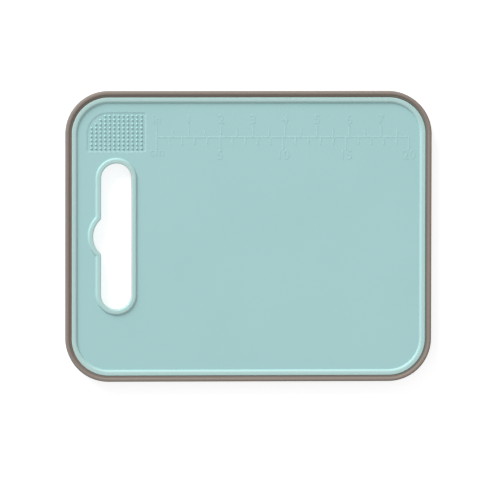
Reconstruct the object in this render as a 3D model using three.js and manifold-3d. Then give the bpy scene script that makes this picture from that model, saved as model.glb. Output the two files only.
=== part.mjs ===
// Plastic cutting board: a mint panel with a handle slot, a grater pocket and a raised ruler,
// and a soft grey-brown rim that is moulded round the panel's edge and grips its tongue.
// Millimetres, +Z up. The origin lies on the table under the middle of the board.
// +X runs along the board away from the handle, and +Y runs across it towards the grater.

import * as THREE from 'three';
import { mergeVertices, toCreasedNormals } from 'three/addons/utils/BufferGeometryUtils.js';
import Module from 'manifold-3d';

// Whole board
const BOARD_LENGTH = 290;
const BOARD_WIDTH = 230;
const BOARD_THICKNESS = 11;
const CORNER_RADIUS = 34;

// Soft rim in section: a rounded and slightly waisted outer wall, a flat crest, and a slope down to
// a shallow channel along the joint
const RIM_WIDTH = 4.8;
const RIM_EDGE_RADIUS = 1.2;
const RIM_WAIST = 0.3;
const RIM_CREST_WIDTH = 0.8;
const RIM_SLOPE = 1.6;
const RIM_DIP = 0.8;

// Dovetail joint between panel and rim
const MOULD_GAP = 0.2;
const TONGUE_REACH = 2.5;
const TONGUE_ROOT = 3.2;
const TONGUE_TIP = 4.4;

// Panel faces, and the lip that stands up round them
const FACE_DROP = 1.8;
const LIP_WIDTH = 4.15;
const LIP_HEIGHT = 1.4;
const LIP_EDGE_DROP = 0.3;
const LIP_ROLL = 0.6;
const LIP_SHOULDER = 2;

// Handle slot, the hook notch in its side, and the bead round both
const SLOT_WIDTH = 24.5;
const SLOT_TO_POCKET = 4.65;
const NOTCH_DEPTH = 6.25;
const NOTCH_BLEND = 1.2;
const BEAD_WIDTH = 3.75;
const BEAD_HEIGHT = 1.2;
const BEAD_EDGE_DROP = 0.9;
const BEAD_ROLL = 1.2;
const BEAD_SHOULDER = 1.6;

// Grater pocket and its studs
const POCKET_INSET = 16.25;
const POCKET_LENGTH = 47.8;
const POCKET_WIDTH = 32.2;
const POCKET_DEPTH = 0.32;
const POCKET_DRAFT = 1.6;
const POCKET_CORNER_RADIUS = 2.4;
const STUD_PITCH_ALONG = 3.6;
const STUD_PITCH_ACROSS = 3.22;
const STUD_MARGIN = 2.8;
const STUD_HEIGHT = 1;
const STUD_SHOULDER_HEIGHT = 0.6;
const STUD_BASE_DIAMETER = 1.8;
const STUD_SHOULDER_DIAMETER = 1.2;
const STUD_TIP_DIAMETER = 0.45;
const STUD_SIDES = 6;

// Raised ruler: inches above its base line, centimetres below
const RULER_FROM_EDGE = 35.5;
const RULER_FROM_POCKET = 7.65;
const RULER_FROM_LIP = 7.5;
const LINE_WIDTH = 1.2;
const LINE_HEIGHT = 0.15;
const ZERO_MARK_LENGTH = 9.5;
const CENTIMETRE = 10;
const CENTIMETRES_TO_LONG_MARK = 5;
const CENTIMETRE_MARK_LENGTH = 6;
const LONG_CENTIMETRE_MARK_LENGTH = 10.5;
const HALF_INCH = 12.7;
const HALF_INCHES_TO_LONG_MARK = 2;
const HALF_INCH_MARK_LENGTH = 6.2;
const INCH_MARK_LENGTH = 9.5;

// Mint polypropylene, satin, and grey-brown soft plastic, matt
const PANEL_COLOUR = 0xa8cecd;
const PANEL_ROUGHNESS = 0.5;
const RIM_COLOUR = 0x827971;
const RIM_ROUGHNESS = 0.8;

// How finely the round stretches are divided
const CORNER_STEPS = 12;
const SLOT_END_STEPS = 16;
const NOTCH_STEPS = 10;
const BLEND_STEPS = 3;
const WALL_STEPS = 3;
const ROLL_STEPS = 4;
const SLOPE_STEPS = 5;

// How deep a raised detail is rooted in its face, and how far a cutter runs past a face
const ROOT_DEPTH = 0.5;
const CUT_MARGIN = 1;

// Facets that meet at less than this angle, in radians, are shaded as one round surface
const CREASE_ANGLE = 0.6;

// Levels and places that follow from the sizes above. Insets are measured from the board's outer edge.
const QUARTER_TURN = Math.PI / 2;
const middleLevel = BOARD_THICKNESS / 2;
const faceLevel = BOARD_THICKNESS - FACE_DROP;
const panelEdge = RIM_WIDTH + MOULD_GAP;
const lipFoot = panelEdge + LIP_WIDTH;
const pocketLeft = -BOARD_LENGTH / 2 + POCKET_INSET;
const pocketRight = pocketLeft + POCKET_LENGTH;
const pocketTop = BOARD_WIDTH / 2 - POCKET_INSET;
const pocketBottom = pocketTop - POCKET_WIDTH;
const pocketCentreX = (pocketLeft + pocketRight) / 2;
const pocketCentreY = (pocketTop + pocketBottom) / 2;
const pocketFloor = faceLevel - POCKET_DEPTH;
const pocketRoundRadius = THREE.MathUtils.clamp(
  CORNER_RADIUS - POCKET_INSET,
  POCKET_CORNER_RADIUS,
  POCKET_WIDTH - POCKET_CORNER_RADIUS,
);
const slotCentreX = pocketCentreX;
const slotHalfLength = pocketBottom - SLOT_TO_POCKET - BEAD_WIDTH;

const wasm = await Module();
wasm.setup();

// Points of an arc with both its ends. It turns clockwise when its end angle is the smaller one.
function arc(centreX, centreY, radius, from, to, steps) {
  return new THREE.ArcCurve(centreX, centreY, radius, from, to, to < from).getPoints(steps);
}

// The board's rounded outline, moved in from the outer edge
function boardOutline(inset) {
  const x = BOARD_LENGTH / 2 - CORNER_RADIUS;
  const y = BOARD_WIDTH / 2 - CORNER_RADIUS;
  const centres = [[x, y], [-x, y], [-x, -y], [x, -y]];
  return centres.flatMap(([centreX, centreY], corner) => {
    const from = corner * QUARTER_TURN;
    return arc(centreX, centreY, CORNER_RADIUS - inset, from, from + QUARTER_TURN, CORNER_STEPS);
  });
}

// The slot's outline, moved out into the panel: two round ends joined by straight sides, and in the
// left side a notch on a circle about the slot's middle, blended into the straight side at both ends
function slotOutline(offset) {
  const endRadius = SLOT_WIDTH / 2 + offset;
  const endCentreY = slotHalfLength - SLOT_WIDTH / 2;
  const notchRadius = endRadius + NOTCH_DEPTH;
  const blendReach = endRadius + NOTCH_BLEND;
  const blendX = slotCentreX - blendReach;
  const blendY = Math.sqrt((notchRadius + NOTCH_BLEND) ** 2 - blendReach ** 2);
  const turn = Math.atan2(blendY, blendReach);
  const left = Math.PI;
  return [
    ...arc(slotCentreX, endCentreY, endRadius, 0, left, SLOT_END_STEPS),
    ...arc(blendX, blendY, NOTCH_BLEND, 0, -turn, BLEND_STEPS),
    ...arc(slotCentreX, 0, notchRadius, left - turn, left + turn, NOTCH_STEPS).slice(1, -1),
    ...arc(blendX, -blendY, NOTCH_BLEND, turn, 0, BLEND_STEPS),
    ...arc(slotCentreX, -endCentreY, endRadius, left, 2 * left, SLOT_END_STEPS),
  ];
}

// The pocket's outline, moved in from its upper edge. The corner next to the board's own corner is
// concentric with it, and the other three are tight.
function pocketOutline(inset) {
  const corners = [
    [pocketRight, pocketTop, POCKET_CORNER_RADIUS],
    [pocketLeft, pocketTop, pocketRoundRadius],
    [pocketLeft, pocketBottom, POCKET_CORNER_RADIUS],
    [pocketRight, pocketBottom, POCKET_CORNER_RADIUS],
  ];
  return corners.flatMap(([x, y, radius], corner) => {
    const from = corner * QUARTER_TURN;
    const centreX = x + Math.sign(pocketCentreX - x) * radius;
    const centreY = y + Math.sign(pocketCentreY - y) * radius;
    return arc(centreX, centreY, radius - inset, from, from + QUARTER_TURN, ROLL_STEPS);
  });
}

// A rounded edge in section: a quarter of an ellipse, upright at the edge and level at the crest
function roll(edge, crest, edgeLevel, crestLevel) {
  return Array.from({ length: ROLL_STEPS + 1 }, (_, step) => {
    const angle = (step / ROLL_STEPS) * QUARTER_TURN;
    const place = crest + (edge - crest) * Math.cos(angle);
    const level = edgeLevel + (crestLevel - edgeLevel) * Math.sin(angle);
    return [place, level];
  });
}

// A slope in section that is level both at its crest and at its foot
function easedSlope(crest, foot, crestLevel, footLevel) {
  return Array.from({ length: SLOPE_STEPS + 1 }, (_, step) => {
    const share = step / SLOPE_STEPS;
    const fall = (1 - Math.cos(share * Math.PI)) / 2;
    return [crest + (foot - crest) * share, crestLevel + (footLevel - crestLevel) * fall];
  });
}

// The rim's outer wall in section, from the middle of the board up to its rounded edge. It is hollowed
// a little, and deepest half-way up the board.
function waistedWall() {
  const wallHeight = middleLevel - RIM_EDGE_RADIUS;
  return Array.from({ length: WALL_STEPS - 1 }, (_, step) => {
    const share = (step + 1) / WALL_STEPS;
    return [RIM_WAIST * (1 - share ** 2), middleLevel + share * wallHeight];
  });
}

// The lower half of a section, which mirrors the upper half about the middle of the board
function mirrored(upperHalf) {
  return upperHalf.map(([place, level]) => [place, BOARD_THICKNESS - level]).reverse();
}

// A closed surface through outlines stacked along a section. An open section gets a flat cap at each
// end, and a section that is a loop joins its last outline to its first.
function loft(section, outlineAt, isLoop) {
  const outlines = section.map(([place]) => outlineAt(place));
  const count = outlines[0].length;
  const positions = outlines.flatMap((outline, layer) => {
    return outline.flatMap(({ x, y }) => [x, y, section[layer][1]]);
  });
  const triangles = [];
  const spans = isLoop ? section.length : section.length - 1;
  for (let layer = 0; layer < spans; layer++) {
    const lower = layer * count;
    const upper = ((layer + 1) % section.length) * count;
    for (let here = 0; here < count; here++) {
      const next = (here + 1) % count;
      triangles.push(lower + here, lower + next, upper + next);
      triangles.push(lower + here, upper + next, upper + here);
    }
  }
  if (!isLoop) {
    const top = (section.length - 1) * count;
    const bottomCap = THREE.ShapeUtils.triangulateShape(outlines[0], []);
    const topCap = THREE.ShapeUtils.triangulateShape(outlines.at(-1), []);
    bottomCap.forEach(([a, b, c]) => triangles.push(a, c, b));
    topCap.forEach(([a, b, c]) => triangles.push(top + a, top + b, top + c));
  }
  const geometry = new THREE.BufferGeometry();
  geometry.setAttribute('position', new THREE.Float32BufferAttribute(positions, 3));
  geometry.setIndex(triangles);
  return geometry;
}

// A closed geometry as a solid that can be joined and cut
function toSolid(geometry) {
  const bare = geometry.clone();
  bare.deleteAttribute('normal');
  bare.deleteAttribute('uv');
  const merged = mergeVertices(bare);
  const vertProperties = new Float32Array(merged.attributes.position.array);
  const triVerts = new Uint32Array(merged.index.array);
  return new wasm.Manifold(new wasm.Mesh({ numProp: 3, vertProperties, triVerts }));
}

// A solid as a geometry again
function toGeometry(solid) {
  const mesh = solid.getMesh();
  const geometry = new THREE.BufferGeometry();
  geometry.setAttribute('position', new THREE.BufferAttribute(mesh.vertProperties, 3));
  geometry.setIndex(new THREE.BufferAttribute(mesh.triVerts, 1));
  return geometry;
}

// The panel's body: the tongue round its edge, the lip above and below, and the two flat faces
function panelBody() {
  const crestLevel = faceLevel + LIP_HEIGHT;
  const upperHalf = [
    [RIM_WIDTH - TONGUE_REACH, middleLevel + TONGUE_TIP / 2],
    [panelEdge, middleLevel + TONGUE_ROOT / 2],
    ...roll(panelEdge, panelEdge + LIP_ROLL, crestLevel - LIP_EDGE_DROP, crestLevel),
    ...roll(lipFoot, lipFoot - LIP_SHOULDER, faceLevel, crestLevel).reverse(),
  ];
  return toSolid(loft([...mirrored(upperHalf), ...upperHalf], boardOutline, false));
}

// The cutter for the slot, which cuts as far as the middle of the bead that is then set round it
function slotCutter() {
  const underBead = BEAD_WIDTH / 2;
  const section = [
    [underBead, -CUT_MARGIN],
    [underBead, BOARD_THICKNESS + CUT_MARGIN],
  ];
  return toSolid(loft(section, slotOutline, false));
}

// The slot's wall, and the bead that stands round its edge on both faces
function slotBead() {
  const crestLevel = faceLevel + BEAD_HEIGHT;
  const slotToFoot = [
    ...roll(0, BEAD_ROLL, crestLevel - BEAD_EDGE_DROP, crestLevel),
    ...roll(BEAD_WIDTH, BEAD_WIDTH - BEAD_SHOULDER, faceLevel, crestLevel).reverse(),
  ];
  const footToSlot = slotToFoot.toReversed();
  return toSolid(loft([...footToSlot, ...mirrored(footToSlot)], slotOutline, true));
}

// The cutter for the grater pocket, whose walls lean outwards
function pocketCutter() {
  const lean = POCKET_DRAFT / POCKET_DEPTH;
  const section = [
    [POCKET_DRAFT, pocketFloor],
    [-CUT_MARGIN * lean, faceLevel + CUT_MARGIN],
  ];
  return toSolid(loft(section, pocketOutline, false));
}

// One stud of the grater: a blunt, slightly domed cone on a straight root set in the pocket's floor
function stud(x, y) {
  const baseRadius = STUD_BASE_DIAMETER / 2;
  const profile = [
    new THREE.Vector2(0, -ROOT_DEPTH),
    new THREE.Vector2(baseRadius, -ROOT_DEPTH),
    new THREE.Vector2(baseRadius, 0),
    new THREE.Vector2(STUD_SHOULDER_DIAMETER / 2, STUD_SHOULDER_HEIGHT),
    new THREE.Vector2(STUD_TIP_DIAMETER / 2, STUD_HEIGHT),
    new THREE.Vector2(0, STUD_HEIGHT),
  ];
  const geometry = new THREE.LatheGeometry(profile, STUD_SIDES);
  geometry.rotateX(QUARTER_TURN);
  geometry.translate(x, y, pocketFloor);
  return toSolid(geometry);
}

// Whether a stud here stands clear of the pocket's round corner
function clearsRoundCorner(x, y) {
  const pastX = Math.max(pocketLeft + pocketRoundRadius - x, 0);
  const pastY = Math.max(y - pocketTop + pocketRoundRadius, 0);
  return Math.hypot(pastX, pastY) <= pocketRoundRadius - STUD_MARGIN;
}

// The grater's studs, on a grid centred in the pocket
function graterStuds() {
  const columns = Math.floor((POCKET_LENGTH - 2 * STUD_MARGIN) / STUD_PITCH_ALONG) + 1;
  const rows = Math.floor((POCKET_WIDTH - 2 * STUD_MARGIN) / STUD_PITCH_ACROSS) + 1;
  const studs = [];
  for (let column = 0; column < columns; column++) {
    for (let row = 0; row < rows; row++) {
      const x = pocketCentreX + (column - (columns - 1) / 2) * STUD_PITCH_ALONG;
      const y = pocketCentreY + (row - (rows - 1) / 2) * STUD_PITCH_ACROSS;
      if (clearsRoundCorner(x, y)) {
        studs.push(stud(x, y));
      }
    }
  }
  return studs;
}

// The ruler, a flat comb that stands a little proud of the face: a zero mark, a base line,
// inch marks above it and centimetre marks below it
function ruler() {
  const half = LINE_WIDTH / 2;
  const base = BOARD_WIDTH / 2 - RULER_FROM_EDGE;
  const start = pocketRight + RULER_FROM_POCKET;
  const room = BOARD_LENGTH / 2 - lipFoot - RULER_FROM_LIP - start;
  const centimetres = Math.floor(room / CENTIMETRE);
  const halfInches = Math.floor((centimetres * CENTIMETRE) / HALF_INCH);
  const end = start + centimetres * CENTIMETRE;
  const outline = [
    [start - half, base - ZERO_MARK_LENGTH],
    [start + half, base - ZERO_MARK_LENGTH],
    [start + half, base - half],
  ];
  for (let mark = 1; mark <= centimetres; mark++) {
    const x = start + mark * CENTIMETRE;
    const isLong = mark % CENTIMETRES_TO_LONG_MARK === 0;
    const tip = base - (isLong ? LONG_CENTIMETRE_MARK_LENGTH : CENTIMETRE_MARK_LENGTH);
    outline.push([x - half, base - half], [x - half, tip], [x + half, tip], [x + half, base - half]);
  }
  outline.pop();
  outline.push([end + half, base + half]);
  for (let mark = halfInches; mark >= 1; mark--) {
    const x = start + mark * HALF_INCH;
    const isLong = mark % HALF_INCHES_TO_LONG_MARK === 0;
    const tip = base + (isLong ? INCH_MARK_LENGTH : HALF_INCH_MARK_LENGTH);
    outline.push([x + half, base + half], [x + half, tip], [x - half, tip], [x - half, base + half]);
  }
  outline.push(
    [start + half, base + half],
    [start + half, base + ZERO_MARK_LENGTH],
    [start - half, base + ZERO_MARK_LENGTH],
  );
  const shape = new THREE.Shape(outline.map(([x, y]) => new THREE.Vector2(x, y)));
  const depth = ROOT_DEPTH + LINE_HEIGHT;
  const geometry = new THREE.ExtrudeGeometry(shape, { depth, bevelEnabled: false });
  geometry.translate(0, 0, faceLevel - ROOT_DEPTH);
  return toSolid(geometry);
}

// The panel: its body with the slot and the pocket cut out, and all that stands up on its faces
function cuttingPanel() {
  const body = panelBody().subtract(slotCutter()).subtract(pocketCutter());
  const raised = [slotBead(), ruler(), ...graterStuds()];
  const solid = raised.reduce((panel, detail) => panel.add(detail), body);
  return toGeometry(solid);
}

// The rim: one ring of soft plastic with a dovetail groove inside, which closes round the tongue
function softRim() {
  const crestEnd = RIM_EDGE_RADIUS + RIM_CREST_WIDTH;
  const channelLevel = BOARD_THICKNESS - RIM_DIP;
  const upperHalf = [
    ...waistedWall(),
    ...roll(0, RIM_EDGE_RADIUS, BOARD_THICKNESS - RIM_EDGE_RADIUS, BOARD_THICKNESS),
    ...easedSlope(crestEnd, crestEnd + RIM_SLOPE, BOARD_THICKNESS, channelLevel),
    [RIM_WIDTH, channelLevel],
    [RIM_WIDTH, middleLevel + TONGUE_ROOT / 2 + MOULD_GAP],
    [RIM_WIDTH - TONGUE_REACH - MOULD_GAP, middleLevel + TONGUE_TIP / 2 + MOULD_GAP],
  ];
  return loft([...upperHalf, ...mirrored(upperHalf)], boardOutline, true);
}

// A named piece of one plastic, with its sharp edges kept crisp in shading
function piece(name, geometry, color, roughness) {
  const material = new THREE.MeshStandardMaterial({ color, roughness, metalness: 0 });
  const mesh = new THREE.Mesh(toCreasedNormals(geometry, CREASE_ANGLE), material);
  mesh.name = name;
  return mesh;
}

const cuttingBoard = new THREE.Group();
cuttingBoard.name = 'cutting_board';
cuttingBoard.add(piece('cutting_panel', cuttingPanel(), PANEL_COLOUR, PANEL_ROUGHNESS));
cuttingBoard.add(piece('soft_rim', softRim(), RIM_COLOUR, RIM_ROUGHNESS));

export default cuttingBoard;
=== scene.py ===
import math

import bmesh
import bpy
from mathutils import Euler, Matrix, Vector


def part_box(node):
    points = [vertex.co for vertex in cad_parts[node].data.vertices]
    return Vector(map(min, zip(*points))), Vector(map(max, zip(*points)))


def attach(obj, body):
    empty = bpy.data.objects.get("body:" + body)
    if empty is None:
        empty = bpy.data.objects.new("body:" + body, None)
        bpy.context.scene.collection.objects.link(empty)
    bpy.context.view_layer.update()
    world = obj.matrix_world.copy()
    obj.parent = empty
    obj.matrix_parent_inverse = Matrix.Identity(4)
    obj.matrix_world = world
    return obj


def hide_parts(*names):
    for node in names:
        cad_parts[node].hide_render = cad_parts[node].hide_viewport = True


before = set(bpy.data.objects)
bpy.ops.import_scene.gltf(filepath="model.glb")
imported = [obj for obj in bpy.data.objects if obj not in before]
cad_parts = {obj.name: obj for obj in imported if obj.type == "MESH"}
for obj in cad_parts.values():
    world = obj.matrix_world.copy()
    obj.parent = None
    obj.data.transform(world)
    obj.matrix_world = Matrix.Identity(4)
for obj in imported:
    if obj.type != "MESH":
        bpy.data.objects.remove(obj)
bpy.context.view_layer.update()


# Cutting panel
# One moulding in satin mint polypropylene: two flat faces with a lip round them, a hand slot with a
# hook notch and a raised bead, a shallow pocket for the grater, and a tongue that the rim closes round.

rim_low, rim_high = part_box("soft_rim")
panel_low, panel_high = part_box("cutting_panel")
board_length = rim_high.x - rim_low.x
board_width = rim_high.y - rim_low.y
board_thickness = rim_high.z - rim_low.z
middle_level = board_thickness / 2
lip_level = panel_high.z
tongue_tip = panel_low.x - rim_low.x

CORNER_RADIUS = 0.034
RIM_WIDTH = 0.0048
MOULD_GAP = 0.00005
TONGUE_ROOT_HALF = 0.0016
TONGUE_TIP_HALF = 0.0022
LIP_WIDTH = 0.0043
LIP_HEIGHT = 0.0014
LIP_EDGE_DROP = 0.0003
LIP_ROLL = 0.0006
LIP_SHOULDER = 0.002
SLOT_WIDTH = 0.0243
SLOT_TO_POCKET = 0.0044
NOTCH_DEPTH = 0.00625
NOTCH_BLEND = 0.0012
BEAD_WIDTH = 0.0041
BEAD_HEIGHT = 0.0012
BEAD_EDGE_DROP = 0.0006
BEAD_ROLL = 0.001
BEAD_SHOULDER = 0.0016
POCKET_INSET = 0.01625
POCKET_LENGTH = 0.0478
POCKET_WIDTH = 0.0322
POCKET_DEPTH = 0.00032
POCKET_DRAFT = 0.0016
POCKET_CORNER_RADIUS = 0.0024
FLAT_BORDER = 0.0005
CORNER_STEPS = 40
SLOT_END_STEPS = 64
NOTCH_STEPS = 40
BLEND_STEPS = 8
SECTION_STEPS = 10
QUARTER_TURN = math.pi / 2

face_level = lip_level - LIP_HEIGHT
panel_edge = RIM_WIDTH + MOULD_GAP
lip_foot = panel_edge + LIP_WIDTH
pocket_left = rim_low.x + POCKET_INSET
pocket_right = pocket_left + POCKET_LENGTH
pocket_top = rim_high.y - POCKET_INSET
pocket_bottom = pocket_top - POCKET_WIDTH
pocket_x = (pocket_left + pocket_right) / 2
pocket_y = (pocket_top + pocket_bottom) / 2
pocket_floor = face_level - POCKET_DEPTH
pocket_round_radius = CORNER_RADIUS - POCKET_INSET
slot_half_length = pocket_bottom - SLOT_TO_POCKET - BEAD_WIDTH


def arc(centre_x, centre_y, radius, start, end, steps):
    """Points of an arc, with both its ends."""
    angles = [start + (end - start) * step / steps for step in range(steps + 1)]
    return [(centre_x + radius * math.cos(a), centre_y + radius * math.sin(a)) for a in angles]


def rounded_outline(corners, inset, steps):
    """An outline round corner centres, which are given with their radii from the upper right one on."""
    points = []
    for corner, (centre_x, centre_y, radius) in enumerate(corners):
        start = corner * QUARTER_TURN
        points += arc(centre_x, centre_y, radius - inset, start, start + QUARTER_TURN, steps)
    return points


def board_outline(inset):
    """The board's outline, moved in from its outer edge."""
    x = board_length / 2 - CORNER_RADIUS
    y = board_width / 2 - CORNER_RADIUS
    corners = [(x, y), (-x, y), (-x, -y), (x, -y)]
    return rounded_outline([(*corner, CORNER_RADIUS) for corner in corners], inset, CORNER_STEPS)


def slot_outline(offset):
    """The slot's outline with its notch, moved out into the panel."""
    end_radius = SLOT_WIDTH / 2 + offset
    end_y = slot_half_length - SLOT_WIDTH / 2
    notch_radius = end_radius + NOTCH_DEPTH
    blend_reach = end_radius + NOTCH_BLEND
    blend_x = pocket_x - blend_reach
    blend_y = math.sqrt((notch_radius + NOTCH_BLEND) ** 2 - blend_reach**2)
    turn = math.atan2(blend_y, blend_reach)
    left = math.pi
    return [
        *arc(pocket_x, end_y, end_radius, 0, left, SLOT_END_STEPS),
        *arc(blend_x, blend_y, NOTCH_BLEND, 0, -turn, BLEND_STEPS),
        *arc(pocket_x, 0, notch_radius, left - turn, left + turn, NOTCH_STEPS)[1:-1],
        *arc(blend_x, -blend_y, NOTCH_BLEND, turn, 0, BLEND_STEPS),
        *arc(pocket_x, -end_y, end_radius, left, 2 * left, SLOT_END_STEPS),
    ]


def pocket_outline(inset):
    """The pocket's outline. Its corner next to the board's own corner is concentric with it."""
    small = POCKET_CORNER_RADIUS
    corners = [
        (pocket_right - small, pocket_top - small, small),
        (pocket_left + pocket_round_radius, pocket_top - pocket_round_radius, pocket_round_radius),
        (pocket_left + small, pocket_bottom + small, small),
        (pocket_right - small, pocket_bottom + small, small),
    ]
    return rounded_outline(corners, inset, SECTION_STEPS)


def roll(edge, crest, edge_level, crest_level):
    """A rounded edge in section, upright at the edge and level at the crest."""
    section = []
    for step in range(SECTION_STEPS + 1):
        angle = QUARTER_TURN * step / SECTION_STEPS
        place = crest + (edge - crest) * math.cos(angle)
        section.append((place, edge_level + (crest_level - edge_level) * math.sin(angle)))
    return section


def eased_slope(crest, foot, crest_level, foot_level):
    """A slope in section, level at its crest and at its foot."""
    section = []
    for step in range(SECTION_STEPS + 1):
        share = step / SECTION_STEPS
        fall = (1 - math.cos(share * math.pi)) / 2
        section.append((crest + (foot - crest) * share, crest_level + (foot_level - crest_level) * fall))
    return section


def mirrored(upper_half):
    """The lower half of a section, the other way up and in the other order."""
    return [(place, board_thickness - level) for place, level in reversed(upper_half)]


def loft(shell, section, outline_at):
    """Walls through an outline at each step of a section. Returns the rings of corners."""
    rings = []
    for place, level in section:
        rings.append([shell.verts.new((x, y, level)) for x, y in outline_at(place)])
    for lower, upper in zip(rings, rings[1:]):
        for here in range(len(lower)):
            shell.faces.new((lower[here - 1], lower[here], upper[here], upper[here - 1]))
    return rings


def fill_flat(shell, rings):
    """A flat face inside the first ring, with the other rings as holes in it."""
    edges = []
    for ring in rings:
        edges += [shell.edges.get((ring[here - 1], ring[here])) for here in range(len(ring))]
    bmesh.ops.triangle_fill(shell, use_beauty=True, edges=edges, normal=(0, 0, 1))


def panel_mesh():
    """The whole panel as one closed shell."""
    shell = bmesh.new()
    edge_to_face = [
        (tongue_tip, middle_level + TONGUE_TIP_HALF),
        (panel_edge, middle_level + TONGUE_ROOT_HALF),
        *roll(panel_edge, panel_edge + LIP_ROLL, lip_level - LIP_EDGE_DROP, lip_level),
        *reversed(roll(lip_foot, lip_foot - LIP_SHOULDER, face_level, lip_level)),
        (lip_foot + FLAT_BORDER, face_level),
    ]
    edge_rings = loft(shell, [*mirrored(edge_to_face), *edge_to_face], board_outline)
    bead_level = face_level + BEAD_HEIGHT
    slot_to_face = [
        *roll(0, BEAD_ROLL, bead_level - BEAD_EDGE_DROP, bead_level),
        *reversed(roll(BEAD_WIDTH, BEAD_WIDTH - BEAD_SHOULDER, face_level, bead_level)),
        (BEAD_WIDTH + FLAT_BORDER, face_level),
    ]
    slot_rings = loft(shell, [*mirrored(slot_to_face), *slot_to_face], slot_outline)
    face_to_floor = [
        (-FLAT_BORDER, face_level),
        *eased_slope(0, POCKET_DRAFT, face_level, pocket_floor),
        (POCKET_DRAFT + FLAT_BORDER, pocket_floor),
    ]
    pocket_rings = loft(shell, face_to_floor, pocket_outline)
    fill_flat(shell, [edge_rings[-1], slot_rings[-1], pocket_rings[0]])
    fill_flat(shell, [pocket_rings[-1]])
    fill_flat(shell, [edge_rings[0], slot_rings[0]])
    bmesh.ops.recalc_face_normals(shell, faces=shell.faces)
    for face in shell.faces:
        face.smooth = True
    mesh = bpy.data.meshes.new("panel_moulding")
    shell.to_mesh(mesh)
    shell.free()
    return mesh


def add_node(tree, kind, inputs=None, **settings):
    """A node with its settings made, and each given input linked to a socket or set to a value."""
    node = tree.nodes.new(kind)
    for name, value in settings.items():
        setattr(node, name, value)
    for name, value in (inputs or {}).items():
        if isinstance(value, bpy.types.NodeSocket):
            tree.links.new(value, node.inputs[name])
        else:
            node.inputs[name].default_value = value
    return node


def add_sockets(tree, in_out, **kinds):
    """Named sockets of a node group, in the order given."""
    sockets = {}
    for name, kind in kinds.items():
        sockets[name] = tree.interface.new_socket(name, in_out=in_out, socket_type="NodeSocket" + kind)
    return sockets


def mixed_colour(tree, share, first, second):
    """The colour socket of a mix of two colours, which are a mix node's inputs 6 and 7."""
    mix = add_node(tree, "ShaderNodeMix", {0: share, 6: first, 7: second}, data_type="RGBA")
    return mix.outputs[2]


def moulded_grain_group():
    """The fine sparked texture of a steel mould, and the slow drift of tone that the melt leaves."""
    group = bpy.data.node_groups.new("moulded_grain", "ShaderNodeTree")
    add_sockets(group, "INPUT", Place="Vector", Grains="Float", Drifts="Float")
    add_sockets(group, "OUTPUT", Height="Float", Tone="Float")
    given = add_node(group, "NodeGroupInput").outputs
    cloud = add_node(group, "ShaderNodeTexNoise", {"Vector": given["Place"], "Scale": given["Grains"]})
    pits = add_node(group, "ShaderNodeTexVoronoi", {"Vector": given["Place"], "Scale": given["Grains"]})
    height = add_node(group, "ShaderNodeMath", {0: cloud.outputs[0], 1: pits.outputs[0]}, operation="ADD")
    drift = add_node(group, "ShaderNodeTexNoise", {"Vector": given["Place"], "Scale": given["Drifts"]})
    add_node(group, "NodeGroupOutput", {"Height": height.outputs[0], "Tone": drift.outputs[0]})
    return group


def crest_rub_group():
    """Painted highlight: a share that rises with a point's height from the middle of the board, so the
    crests that stand furthest out are painted lighter.
    """
    group = bpy.data.node_groups.new("crest_highlight", "ShaderNodeTree")
    add_sockets(group, "INPUT", Place="Vector", Middle="Float", Low="Float", High="Float")
    add_sockets(group, "OUTPUT", Rubbed="Float")
    given = add_node(group, "NodeGroupInput").outputs
    place = add_node(group, "ShaderNodeSeparateXYZ", {"Vector": given["Place"]})
    above = add_node(
        group, "ShaderNodeMath", {0: place.outputs["Z"], 1: given["Middle"]}, operation="SUBTRACT"
    )
    height = add_node(group, "ShaderNodeMath", {0: above.outputs[0]}, operation="ABSOLUTE")
    painted_highlight = add_node(
        group,
        "ShaderNodeMapRange",
        {"Value": height.outputs[0], "From Min": given["Low"], "From Max": given["High"]},
        interpolation_type="SMOOTHSTEP",
    )
    add_node(group, "NodeGroupOutput", {"Rubbed": painted_highlight.outputs["Result"]})
    return group


moulded_grain = moulded_grain_group()
crest_highlight = crest_rub_group()


def srgb(red, green, blue):
    """A colour given as it looks on screen, from 0 to 255, as the shader's own linear values."""
    shares = [value / 255 for value in (red, green, blue)]
    return (*(s / 12.92 if s <= 0.04045 else ((s + 0.055) / 1.055) ** 2.4 for s in shares), 1)


def moulded_plastic(name, tones, grains, drifts, highlight_span, roughness, shine, relief):
    """A moulded plastic: two close tones that drift into each other, a painted highlight that lightens the
    crests, and a fine grain.
    """
    deep, pale, painted_highlight = tones
    material = bpy.data.materials.new(name)
    material.use_nodes = True
    tree = material.node_tree
    place = add_node(tree, "ShaderNodeTexCoord").outputs["Object"]
    grain = add_node(tree, "ShaderNodeGroup", node_tree=moulded_grain)
    tree.links.new(place, grain.inputs["Place"])
    grain.inputs["Grains"].default_value = grains
    grain.inputs["Drifts"].default_value = drifts
    highlight_mask = add_node(tree, "ShaderNodeGroup", node_tree=crest_highlight)
    tree.links.new(place, highlight_mask.inputs["Place"])
    highlight_mask.inputs["Middle"].default_value = middle_level
    highlight_mask.inputs["Low"].default_value = highlight_span[0] - middle_level
    highlight_mask.inputs["High"].default_value = highlight_span[1] - middle_level
    body = mixed_colour(tree, grain.outputs["Tone"], deep, pale)
    # Painted highlight: the crests are mixed towards the lighter third tone.
    colour = mixed_colour(tree, highlight_mask.outputs["Rubbed"], body, painted_highlight)
    gloss = add_node(
        tree,
        "ShaderNodeMapRange",
        {"Value": grain.outputs["Height"], "To Min": roughness[0], "To Max": roughness[1]},
    )
    bump = add_node(tree, "ShaderNodeBump", {"Height": grain.outputs["Height"], "Distance": relief})
    shader = tree.nodes["Principled BSDF"]
    shader.inputs["Specular IOR Level"].default_value = shine
    tree.links.new(colour, shader.inputs["Base Color"])
    tree.links.new(gloss.outputs["Result"], shader.inputs["Roughness"])
    tree.links.new(bump.outputs["Normal"], shader.inputs["Normal"])
    return material


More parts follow.
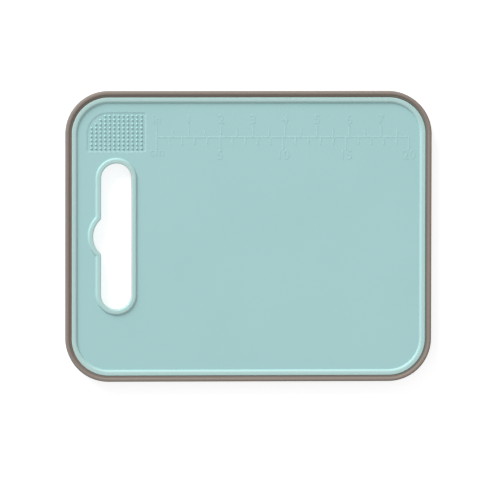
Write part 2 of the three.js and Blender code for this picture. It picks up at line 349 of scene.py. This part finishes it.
MINT_DEEP = srgb(162, 202, 202)
MINT_PALE = srgb(167, 206, 207)
# The next tone is a painted highlight, laid on the raised crests of the lip, bead, studs and lines.
MINT_PAINTED_HIGHLIGHT = srgb(177, 209, 206)
MINT_GRAINS = 3200
MINT_DRIFTS = 14
MINT_ROUGHNESS = (0.42, 0.52)
MINT_SHINE = 0.4
MINT_RELIEF = 0.00002

mint_plastic = moulded_plastic(
    "mint_plastic",
    (MINT_DEEP, MINT_PALE, MINT_PAINTED_HIGHLIGHT),
    MINT_GRAINS,
    MINT_DRIFTS,
    (face_level, lip_level),
    MINT_ROUGHNESS,
    MINT_SHINE,
    MINT_RELIEF,
)


def set_in_place(name, mesh, material):
    """A piece of the board: it rides on the board's one body and takes its finish from a slot."""
    piece = bpy.data.objects.new(name, mesh)
    bpy.context.scene.collection.objects.link(piece)
    mesh.materials.clear()
    mesh.materials.append(material)
    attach(piece, "root")
    return piece


panel = set_in_place("panel_moulding", panel_mesh(), mint_plastic)
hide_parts("cutting_panel")


# Grater studs
# Blunt cones of the same moulding, in straight rows on the floor of the pocket. The rows leave out
# the studs that the pocket's round corner would cut.

STUD_PITCH_ALONG = 0.0036
STUD_PITCH_ACROSS = 0.00322
STUD_MARGIN = 0.0028
STUD_HEIGHT = 0.001
STUD_ROOT = 0.0003
STUD_BASE_RADIUS = 0.0009
STUD_SIDES = 14
STUD_RINGS = 6
# Each pair is a share of the height and the share of the base radius there
STUD_PROFILE = ((0, 1), (0.25, 1), (0.5, 0.86), (0.75, 0.63), (1, 0.24))
TOWARDS_ROUND_CORNER = (-1, 1, 0)
NO_REACH = (0, 0, 0)

stud_columns = int((POCKET_LENGTH - 2 * STUD_MARGIN) / STUD_PITCH_ALONG) + 1
stud_rows = int((POCKET_WIDTH - 2 * STUD_MARGIN) / STUD_PITCH_ACROSS) + 1


def baked_nodes(name, tree, values):
    """The mesh that a Geometry Nodes tree makes from nothing but its named values."""
    carrier = bpy.data.objects.new(name, bpy.data.meshes.new(name))
    bpy.context.scene.collection.objects.link(carrier)
    modifier = carrier.modifiers.new(name, "NODES")
    modifier.node_group = tree
    for socket in tree.interface.items_tree:
        if socket.in_out == "INPUT" and socket.name in values:
            modifier[socket.identifier] = values[socket.name]
    depsgraph = bpy.context.evaluated_depsgraph_get()
    mesh = bpy.data.meshes.new_from_object(carrier.evaluated_get(depsgraph), depsgraph=depsgraph)
    bpy.data.objects.remove(carrier)
    return mesh


def finish_tree(tree, geometry):
    """The end of each tree: real geometry, smooth, in the material that the tree is given."""
    given = next(node for node in tree.nodes if node.bl_idname == "NodeGroupInput").outputs
    whole = add_node(tree, "GeometryNodeRealizeInstances", {"Geometry": geometry})
    smooth = add_node(tree, "GeometryNodeSetShadeSmooth", {"Geometry": whole.outputs[0]})
    painted = add_node(
        tree, "GeometryNodeSetMaterial", {"Geometry": smooth.outputs[0], "Material": given["Material"]}
    )
    add_sockets(tree, "OUTPUT", Geometry="Geometry")
    add_node(tree, "NodeGroupOutput", {"Geometry": painted.outputs[0]})


def stud_rows_tree():
    """A grid of studs round the pocket's middle, without those outside its round corner."""
    tree = bpy.data.node_groups.new("grater_studs", "GeometryNodeTree")
    add_sockets(
        tree,
        "INPUT",
        Columns="Int",
        Rows="Int",
        Along="Float",
        Across="Float",
        Middle="Vector",
        Corner="Vector",
        Room="Float",
        Base="Float",
        Foot="Vector",
        Tip="Vector",
        Material="Material",
    )
    given = add_node(tree, "NodeGroupInput").outputs
    grid = add_node(
        tree,
        "GeometryNodeMeshGrid",
        {
            "Size X": given["Along"],
            "Size Y": given["Across"],
            "Vertices X": given["Columns"],
            "Vertices Y": given["Rows"],
        },
    )
    placed = add_node(
        tree, "GeometryNodeTransform", {"Geometry": grid.outputs["Mesh"], "Translation": given["Middle"]}
    )
    position = add_node(tree, "GeometryNodeInputPosition").outputs[0]
    past = add_node(tree, "ShaderNodeVectorMath", {0: position, 1: given["Corner"]}, operation="SUBTRACT")
    outward = add_node(
        tree, "ShaderNodeVectorMath", {0: past.outputs[0], 1: TOWARDS_ROUND_CORNER}, operation="MULTIPLY"
    )
    beyond = add_node(
        tree, "ShaderNodeVectorMath", {0: outward.outputs[0], 1: NO_REACH}, operation="MAXIMUM"
    )
    reach = add_node(tree, "ShaderNodeVectorMath", {0: beyond.outputs[0]}, operation="LENGTH")
    outside = add_node(tree, "FunctionNodeCompare", {"A": reach.outputs["Value"], "B": given["Room"]})
    kept = add_node(
        tree, "GeometryNodeDeleteGeometry", {"Geometry": placed.outputs[0], "Selection": outside.outputs[0]}
    )
    axis = add_node(tree, "GeometryNodeCurvePrimitiveLine", {"Start": given["Foot"], "End": given["Tip"]})
    steps = add_node(tree, "GeometryNodeResampleCurve", {"Curve": axis.outputs[0], "Count": STUD_RINGS})
    along = add_node(tree, "GeometryNodeSplineParameter").outputs["Factor"]
    taper = add_node(tree, "ShaderNodeFloatCurve", {"Value": along})
    points = taper.mapping.curves[0].points
    points[0].location = STUD_PROFILE[0]
    points[1].location = STUD_PROFILE[-1]
    for place in STUD_PROFILE[1:-1]:
        points.new(*place)
    taper.mapping.update()
    ring = add_node(
        tree, "GeometryNodeCurvePrimitiveCircle", {"Resolution": STUD_SIDES, "Radius": given["Base"]}
    )
    stud = add_node(
        tree,
        "GeometryNodeCurveToMesh",
        {
            "Curve": steps.outputs[0],
            "Profile Curve": ring.outputs[0],
            "Scale": taper.outputs[0],
            "Fill Caps": True,
        },
    )
    studs = add_node(
        tree, "GeometryNodeInstanceOnPoints", {"Points": kept.outputs[0], "Instance": stud.outputs[0]}
    )
    finish_tree(tree, studs.outputs[0])
    return tree


stud_values = {
    "Columns": stud_columns,
    "Rows": stud_rows,
    "Along": (stud_columns - 1) * STUD_PITCH_ALONG,
    "Across": (stud_rows - 1) * STUD_PITCH_ACROSS,
    "Middle": (pocket_x, pocket_y, pocket_floor),
    "Corner": (pocket_left + pocket_round_radius, pocket_top - pocket_round_radius, 0),
    "Room": pocket_round_radius - STUD_MARGIN,
    "Base": STUD_BASE_RADIUS,
    "Foot": (0, 0, -STUD_ROOT),
    "Tip": (0, 0, STUD_HEIGHT),
    "Material": mint_plastic,
}
stud_mesh = baked_nodes("grater_studs", stud_rows_tree(), stud_values)
set_in_place("grater_studs", stud_mesh, mint_plastic)


# Ruler lines
# Low half-round lines of the same moulding, cut into the mould of the upper face: a zero mark, a base
# line, inch and half-inch marks above it, and centimetre marks below it with every fifth one longer.

RULER_FROM_EDGE = 0.0363
RULER_FROM_POCKET = 0.0081
RULER_FROM_LIP = 0.0075
LINE_HALF_WIDTH = 0.001
LINE_HEIGHT = 0.00018
LINE_SINK = 0.00009
LINE_SIDES = 16
ZERO_MARK = 0.0095
CENTIMETRE = 0.01
CENTIMETRES_TO_LONG_MARK = 5
CENTIMETRE_MARK = 0.006
LONG_CENTIMETRE_MARK = 0.0105
HALF_INCH = 0.0127
HALF_INCHES_TO_LONG_MARK = 2
HALF_INCH_MARK = 0.0062
INCH_MARK = 0.0095
FIRST_MARK = 1.0
LESS_THAN_ONE_MARK = 0.5
BELOW_BASE_LINE = -1
ABOVE_BASE_LINE = 1

ruler_x = pocket_right + RULER_FROM_POCKET
ruler_y = rim_high.y - RULER_FROM_EDGE
ruler_room = rim_high.x - lip_foot - RULER_FROM_LIP - ruler_x
centimetres = int(ruler_room / CENTIMETRE)
half_inches = int(centimetres * CENTIMETRE / HALF_INCH)
line_level = face_level - LINE_SINK


def ruler_marks(tree, count, pitch, start, every, short, long, way):
    """Upright marks along the base line, from the first pitch on, with each few of them longer."""
    step = add_node(tree, "ShaderNodeCombineXYZ", {"X": pitch})
    first = add_node(tree, "ShaderNodeVectorMath", {0: start, 1: step.outputs[0]}, operation="ADD")
    feet = add_node(
        tree,
        "GeometryNodeMeshLine",
        {"Count": count, "Start Location": first.outputs[0], "Offset": step.outputs[0]},
    )
    index = add_node(tree, "GeometryNodeInputIndex").outputs[0]
    number = add_node(tree, "ShaderNodeMath", {0: index, 1: FIRST_MARK}, operation="ADD")
    left_over = add_node(tree, "ShaderNodeMath", {0: number.outputs[0], 1: every}, operation="MODULO")
    is_long = add_node(
        tree, "ShaderNodeMath", {0: left_over.outputs[0], 1: LESS_THAN_ONE_MARK}, operation="LESS_THAN"
    )
    length = add_node(tree, "ShaderNodeMix", {0: is_long.outputs[0], 2: short, 3: long})
    size = add_node(tree, "ShaderNodeCombineXYZ", {"X": 1.0, "Y": length.outputs[0], "Z": 1.0})
    mark = add_node(tree, "GeometryNodeCurvePrimitiveLine", {"Start": (0, 0, 0), "End": (0, way, 0)})
    return add_node(
        tree,
        "GeometryNodeInstanceOnPoints",
        {"Points": feet.outputs[0], "Instance": mark.outputs[0], "Scale": size.outputs[0]},
    ).outputs[0]


def ruler_tree():
    """All the ruler's lines as thin strokes, then each stroke given its half-round body."""
    tree = bpy.data.node_groups.new("ruler_lines", "GeometryNodeTree")
    add_sockets(
        tree,
        "INPUT",
        Start="Vector",
        End="Vector",
        ZeroFoot="Vector",
        ZeroTip="Vector",
        Centimetres="Int",
        HalfInches="Int",
        Centimetre="Float",
        HalfInch="Float",
        HalfWidth="Float",
        Flatness="Float",
        Material="Material",
    )
    given = add_node(tree, "NodeGroupInput").outputs
    base = add_node(tree, "GeometryNodeCurvePrimitiveLine", {"Start": given["Start"], "End": given["End"]})
    zero = add_node(
        tree, "GeometryNodeCurvePrimitiveLine", {"Start": given["ZeroFoot"], "End": given["ZeroTip"]}
    )
    below = ruler_marks(
        tree,
        given["Centimetres"],
        given["Centimetre"],
        given["Start"],
        CENTIMETRES_TO_LONG_MARK,
        CENTIMETRE_MARK,
        LONG_CENTIMETRE_MARK,
        BELOW_BASE_LINE,
    )
    above = ruler_marks(
        tree,
        given["HalfInches"],
        given["HalfInch"],
        given["Start"],
        HALF_INCHES_TO_LONG_MARK,
        HALF_INCH_MARK,
        INCH_MARK,
        ABOVE_BASE_LINE,
    )
    strokes = add_node(tree, "GeometryNodeJoinGeometry")
    for stroke in (base.outputs[0], zero.outputs[0], below, above):
        tree.links.new(stroke, strokes.inputs[0])
    lines = add_node(tree, "GeometryNodeRealizeInstances", {"Geometry": strokes.outputs[0]})
    upright = add_node(tree, "GeometryNodeSetCurveNormal", {"Curve": lines.outputs[0]}, mode="Z_UP")
    circle = add_node(
        tree, "GeometryNodeCurvePrimitiveCircle", {"Resolution": LINE_SIDES, "Radius": given["HalfWidth"]}
    )
    flat = add_node(tree, "ShaderNodeCombineXYZ", {"X": 1.0, "Y": given["Flatness"], "Z": 1.0})
    section = add_node(
        tree, "GeometryNodeTransform", {"Geometry": circle.outputs[0], "Scale": flat.outputs[0]}
    )
    bodies = add_node(
        tree,
        "GeometryNodeCurveToMesh",
        {"Curve": upright.outputs[0], "Profile Curve": section.outputs[0], "Fill Caps": True},
    )
    finish_tree(tree, bodies.outputs[0])
    return tree


ruler_values = {
    "Start": (ruler_x, ruler_y, line_level),
    "End": (ruler_x + centimetres * CENTIMETRE, ruler_y, line_level),
    "ZeroFoot": (ruler_x, ruler_y - ZERO_MARK, line_level),
    "ZeroTip": (ruler_x, ruler_y + ZERO_MARK, line_level),
    "Centimetres": centimetres,
    "HalfInches": half_inches,
    "Centimetre": CENTIMETRE,
    "HalfInch": HALF_INCH,
    "HalfWidth": LINE_HALF_WIDTH,
    "Flatness": LINE_HEIGHT / LINE_HALF_WIDTH,
    "Material": mint_plastic,
}
ruler_mesh = baked_nodes("ruler_lines", ruler_tree(), ruler_values)
set_in_place("ruler_lines", ruler_mesh, mint_plastic)


# Ruler numerals
# Plain raised figures for every inch and every fifth centimetre, and the two units beside the zero mark,
# all of the same moulding and as low as the lines.

FIGURE_SIZE = 0.0102
FIGURE_RELIEF = 0.00002
FIGURE_ROUNDING = 0.00008
FIGURE_ROUNDING_STEPS = 2
INCH_FIGURES_ABOVE = 0.0107
CENTIMETRE_FIGURES_BELOW = 0.0175
CENTIMETRE_UNIT_BELOW = 0.0149
INCH = HALF_INCHES_TO_LONG_MARK * HALF_INCH
MERGE_DISTANCE = 0.000001

inch_figures_y = ruler_y + INCH_FIGURES_ABOVE
centimetre_figures_y = ruler_y - CENTIMETRE_FIGURES_BELOW
centimetre_unit_y = ruler_y - CENTIMETRE_UNIT_BELOW


def raised_figures(label, x, y):
    """One label as a mesh, standing on the face and centred over its place."""
    text = bpy.data.curves.new(label, "FONT")
    text.body = label
    text.size = FIGURE_SIZE
    text.align_x = "CENTER"
    text.extrude = FIGURE_RELIEF
    text.bevel_depth = FIGURE_ROUNDING
    text.bevel_resolution = FIGURE_ROUNDING_STEPS
    carrier = bpy.data.objects.new(label, text)
    bpy.context.scene.collection.objects.link(carrier)
    depsgraph = bpy.context.evaluated_depsgraph_get()
    mesh = bpy.data.meshes.new_from_object(carrier.evaluated_get(depsgraph), depsgraph=depsgraph)
    bpy.data.objects.remove(carrier)
    mesh.transform(Matrix.Translation((x, y, face_level)))
    return mesh


def joined(name, meshes):
    """Several meshes as one, with their doubled corners merged."""
    whole = bmesh.new()
    for mesh in meshes:
        whole.from_mesh(mesh)
        bpy.data.meshes.remove(mesh)
    bmesh.ops.remove_doubles(whole, verts=whole.verts, dist=MERGE_DISTANCE)
    bmesh.ops.recalc_face_normals(whole, faces=whole.faces)
    mesh = bpy.data.meshes.new(name)
    whole.to_mesh(mesh)
    whole.free()
    return mesh


figures = [
    raised_figures("in", ruler_x, inch_figures_y),
    raised_figures("cm", ruler_x, centimetre_unit_y),
]
for inch in range(1, half_inches // HALF_INCHES_TO_LONG_MARK + 1):
    figures.append(raised_figures(str(inch), ruler_x + inch * INCH, inch_figures_y))
for mark in range(CENTIMETRES_TO_LONG_MARK, centimetres + 1, CENTIMETRES_TO_LONG_MARK):
    figures.append(raised_figures(str(mark), ruler_x + mark * CENTIMETRE, centimetre_figures_y))
set_in_place("ruler_numerals", joined("ruler_numerals", figures), mint_plastic)


# Soft rim
# One ring of grey-brown thermoplastic rubber, moulded round the finished panel in a second shot. Its
# groove grips the panel's tongue, and the board lies on its crests, which stand proud on both sides.

RIM_EDGE_RADIUS = 0.0012
RIM_WAIST = 0.0003
RIM_CREST_WIDTH = 0.0008
RIM_SLOPE = 0.0016
RIM_DIP = 0.0008
RIM_CORNER_STEPS = 40

RIM_DEEP = srgb(122, 113, 106)
RIM_PALE = srgb(128, 119, 111)
# The next tone is a painted highlight, laid on the rim's crests.
RIM_PAINTED_HIGHLIGHT = srgb(141, 131, 123)
RIM_GRAINS = 3000
RIM_DRIFTS = 30
RIM_ROUGHNESS = (0.6, 0.75)
RIM_SHINE = 0.15
RIM_RELIEF = 0.00003

rim_dip_level = board_thickness - RIM_DIP
rim_rubber = moulded_plastic(
    "rim_rubber",
    (RIM_DEEP, RIM_PALE, RIM_PAINTED_HIGHLIGHT),
    RIM_GRAINS,
    RIM_DRIFTS,
    (rim_dip_level, board_thickness),
    RIM_ROUGHNESS,
    RIM_SHINE,
    RIM_RELIEF,
)


def rim_section():
    """The rim's section, as the inset from the outer edge and the level of each point."""
    wall_height = middle_level - RIM_EDGE_RADIUS
    wall = []
    for step in range(1, SECTION_STEPS):
        share = step / SECTION_STEPS
        wall.append((RIM_WAIST * (1 - share**2), middle_level + share * wall_height))
    crest_end = RIM_EDGE_RADIUS + RIM_CREST_WIDTH
    upper_half = [
        *wall,
        *roll(0, RIM_EDGE_RADIUS, board_thickness - RIM_EDGE_RADIUS, board_thickness),
        *eased_slope(crest_end, crest_end + RIM_SLOPE, board_thickness, rim_dip_level),
        (RIM_WIDTH, rim_dip_level),
        (RIM_WIDTH, middle_level + TONGUE_ROOT_HALF + MOULD_GAP),
        (tongue_tip - MOULD_GAP, middle_level + TONGUE_TIP_HALF + MOULD_GAP),
    ]
    return [*upper_half, *mirrored(upper_half)]


def section_curve(name, section):
    """A closed flat curve through the points of a section, turned half round as the sweep needs it."""
    curve = bpy.data.curves.new(name, "CURVE")
    spline = curve.splines.new("POLY")
    spline.points.add(len(section) - 1)
    for point, (place, level) in zip(spline.points, reversed(section)):
        point.co = (-place, -level, 0, 1)
    spline.use_cyclic_u = True
    carrier = bpy.data.objects.new(name, curve)
    bpy.context.scene.collection.objects.link(carrier)
    return carrier


def rim_tree():
    """The rim's section swept round the board's rounded outline."""
    tree = bpy.data.node_groups.new("rim_sweep", "GeometryNodeTree")
    add_sockets(
        tree,
        "INPUT",
        Length="Float",
        Width="Float",
        CornerRadius="Float",
        CornerSteps="Int",
        Section="Object",
        Material="Material",
    )
    given = add_node(tree, "NodeGroupInput").outputs
    oblong = add_node(
        tree,
        "GeometryNodeCurvePrimitiveQuadrilateral",
        {"Width": given["Length"], "Height": given["Width"]},
    )
    outline = add_node(
        tree,
        "GeometryNodeFilletCurve",
        {"Curve": oblong.outputs[0], "Radius": given["CornerRadius"], "Count": given["CornerSteps"]},
        mode="POLY",
    )
    upright = add_node(tree, "GeometryNodeSetCurveNormal", {"Curve": outline.outputs[0]}, mode="Z_UP")
    section = add_node(tree, "GeometryNodeObjectInfo", {"Object": given["Section"]})
    swept = add_node(
        tree,
        "GeometryNodeCurveToMesh",
        {"Curve": upright.outputs[0], "Profile Curve": section.outputs["Geometry"]},
    )
    finish_tree(tree, swept.outputs[0])
    return tree


rim_profile = section_curve("rim_section", rim_section())
rim_values = {
    "Length": board_length,
    "Width": board_width,
    "CornerRadius": CORNER_RADIUS,
    "CornerSteps": RIM_CORNER_STEPS,
    "Section": rim_profile,
    "Material": rim_rubber,
}
rim_mesh = baked_nodes("soft_rim", rim_tree(), rim_values)
bpy.data.objects.remove(rim_profile)
rim = set_in_place("rim_moulding", rim_mesh, rim_rubber)
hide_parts("soft_rim")


# Table
# A plain white table top under the board. It looks white to the camera, and it still takes the
# board's soft shadow.

TABLE_SIZE = 6
TABLE_COLOUR = (0.55, 0.55, 0.55, 1)
TABLE_GLOW = 0.72
TABLE_ROUGHNESS = 1
TABLE_SHINE = 0
PURE_WHITE = (1, 1, 1, 1)


def table_mesh():
    """The flat top, with its middle under the board."""
    top = bmesh.new()
    bmesh.ops.create_grid(top, x_segments=1, y_segments=1, size=TABLE_SIZE / 2)
    mesh = bpy.data.meshes.new("table")
    top.to_mesh(mesh)
    top.free()
    return mesh


def seen_directly(tree):
    """1 for the camera's rays and for what glossy and clear surfaces show, and 0 for light."""
    rays = add_node(tree, "ShaderNodeLightPath").outputs
    first = add_node(
        tree, "ShaderNodeMath", {0: rays["Is Camera Ray"], 1: rays["Is Glossy Ray"]}, operation="MAXIMUM"
    )
    seen = add_node(
        tree, "ShaderNodeMath", {0: first.outputs[0], 1: rays["Is Transmission Ray"]}, operation="MAXIMUM"
    )
    return seen.outputs[0]


def table_paint():
    """A dull pale paint, with a glow that only the viewer sees and that casts no light."""
    material = bpy.data.materials.new("table_paint")
    material.use_nodes = True
    tree = material.node_tree
    shader = tree.nodes["Principled BSDF"]
    shader.inputs["Base Color"].default_value = TABLE_COLOUR
    shader.inputs["Roughness"].default_value = TABLE_ROUGHNESS
    shader.inputs["Specular IOR Level"].default_value = TABLE_SHINE
    shader.inputs["Emission Color"].default_value = PURE_WHITE
    glow = add_node(tree, "ShaderNodeMath", {0: seen_directly(tree), 1: TABLE_GLOW}, operation="MULTIPLY")
    tree.links.new(glow.outputs[0], shader.inputs["Emission Strength"])
    return material


table = bpy.data.objects.new("table", table_mesh())
table.data.materials.append(table_paint())
bpy.context.scene.collection.objects.link(table)


# Studio light
# One broad soft lamp, low on the grater side and a little to the handle side, and an even pale room.
# The plastic doesn't mirror the lamp, so that the flat face stays even from low viewpoints too.

LAMP_DISTANCE = 16
LAMP_SIZE = 10
LAMP_POWER = 3280
LAMP_ELEVATION = math.radians(21.5)
LAMP_TURN = math.radians(34)
ROOM_LIGHT = 0.54
BACKDROP_LIGHT = 1.0

lamp_direction = Vector(
    (
        -math.sin(LAMP_TURN) * math.cos(LAMP_ELEVATION),
        math.cos(LAMP_TURN) * math.cos(LAMP_ELEVATION),
        math.sin(LAMP_ELEVATION),
    )
)
lamp_light = bpy.data.lights.new("lamp", "AREA")
lamp_light.shape = "DISK"
lamp_light.size = LAMP_SIZE
lamp_light.energy = LAMP_POWER
lamp = bpy.data.objects.new("lamp", lamp_light)
lamp.location = lamp_direction * LAMP_DISTANCE
lamp.rotation_euler = lamp_direction.to_track_quat("Z", "Y").to_euler()
lamp.visible_glossy = False
bpy.context.scene.collection.objects.link(lamp)

room = bpy.data.worlds.new("room")
room.use_nodes = True
backdrop = room.node_tree.nodes["Background"]
backdrop.inputs["Color"].default_value = PURE_WHITE
strength = add_node(
    room.node_tree,
    "ShaderNodeMapRange",
    {"Value": seen_directly(room.node_tree), "To Min": ROOM_LIGHT, "To Max": BACKDROP_LIGHT},
)
room.node_tree.links.new(strength.outputs["Result"], backdrop.inputs["Strength"])
bpy.context.scene.world = room


# Camera
# A long lens almost straight above the board, a little to the handle's and the grater's side of its
# middle, with the grater's side at the top of the picture.

CAMERA_TILT = math.radians(3.5)
CAMERA_LEAN = math.radians(3.5)
CAMERA_ROLL = math.radians(0.1)
CAMERA_DISTANCE = 6.5
PIXELS = 500
PIXELS_PER_METRE = 1263.2
SENSOR_WIDTH = 36
BOARD_CENTRE_PIXEL = (248.65, 236.45)

aim = Vector(
    (
        (PIXELS / 2 - BOARD_CENTRE_PIXEL[0]) / PIXELS_PER_METRE,
        (BOARD_CENTRE_PIXEL[1] - PIXELS / 2) / PIXELS_PER_METRE,
        face_level,
    )
)
camera_data = bpy.data.cameras.new("camera")
camera_data.sensor_width = SENSOR_WIDTH
camera_data.lens = SENSOR_WIDTH * CAMERA_DISTANCE * PIXELS_PER_METRE / PIXELS
camera = bpy.data.objects.new("camera", camera_data)
camera_turn = Euler((-CAMERA_LEAN, -CAMERA_TILT, CAMERA_ROLL))
camera.location = aim + camera_turn.to_matrix() @ Vector((0, 0, CAMERA_DISTANCE))
camera.rotation_euler = camera_turn
bpy.context.scene.collection.objects.link(camera)
bpy.context.scene.camera = camera
bpy.context.scene.view_settings.view_transform = "Standard"
